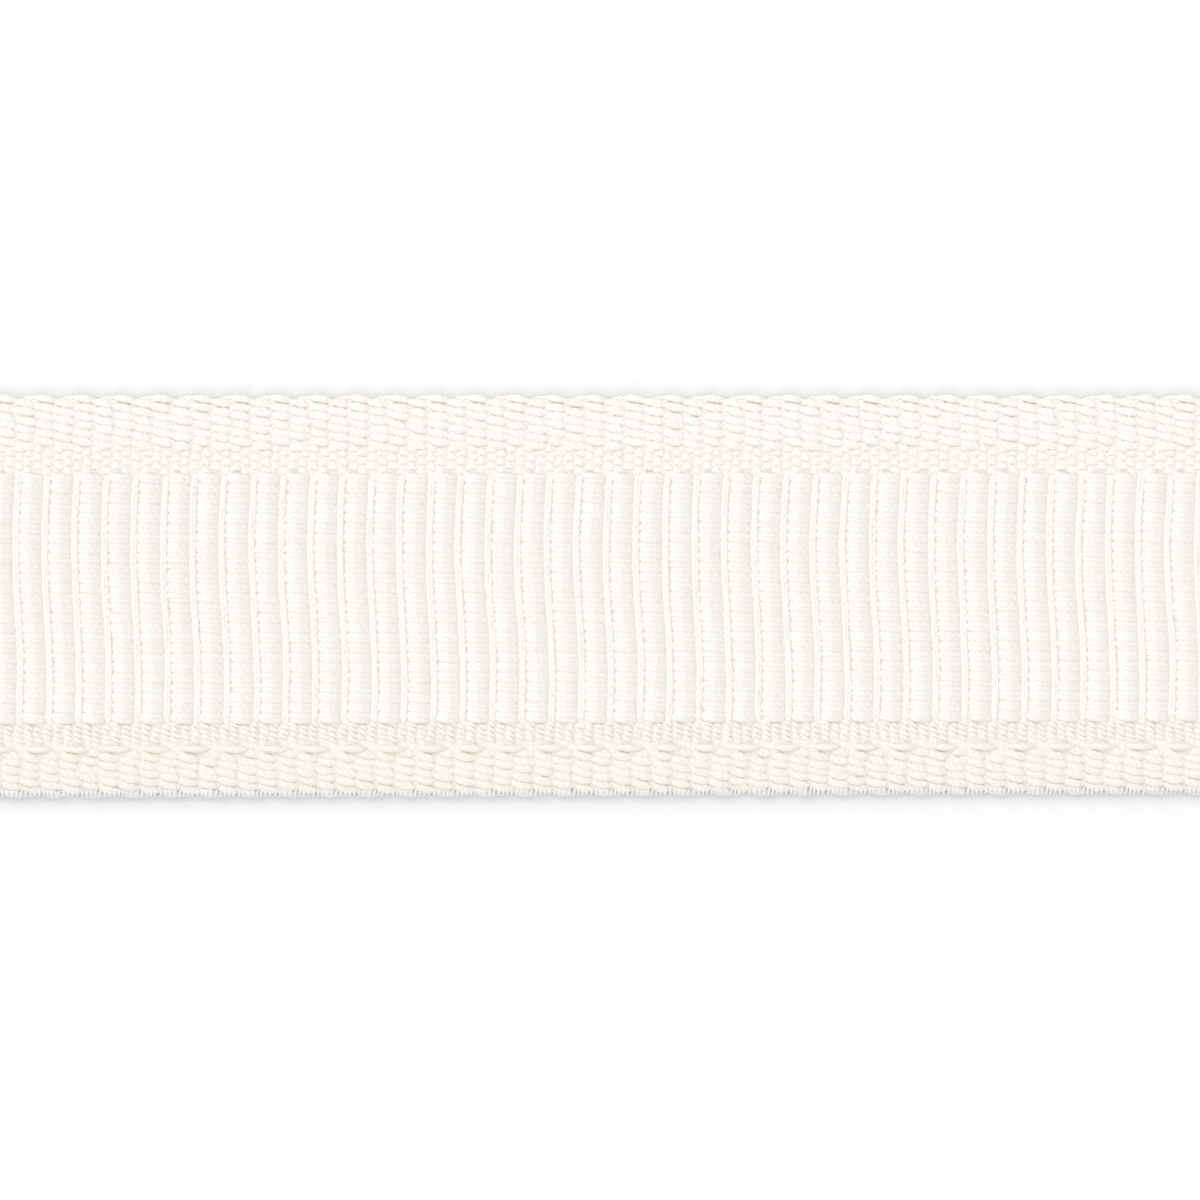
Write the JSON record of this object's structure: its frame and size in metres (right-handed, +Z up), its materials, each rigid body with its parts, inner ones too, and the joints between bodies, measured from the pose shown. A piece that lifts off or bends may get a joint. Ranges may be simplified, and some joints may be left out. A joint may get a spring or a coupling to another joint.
{
  "type": "ribbed woven braid trim tape, flat cut length",
  "caption": "Flat cut length of woven cotton trim tape with crosswise ribs, a braided border along each long edge and one scalloped edge.",
  "frame": {"origin": "on the flat underside, at the middle of the tape's length and width", "axes": "+X along the tape, +Y across it towards the scalloped edge, +Z up out of the ribbed face"},
  "size_m": [0.1202, 0.0301, 0.0012],
  "materials": {
    "cotton": "unbleached cream cotton yarn, matt, woven with ribs across the tape"
  },
  "bodies": {
    "root": {"trim_tape": "cotton"}
  },
  "joints": []
}
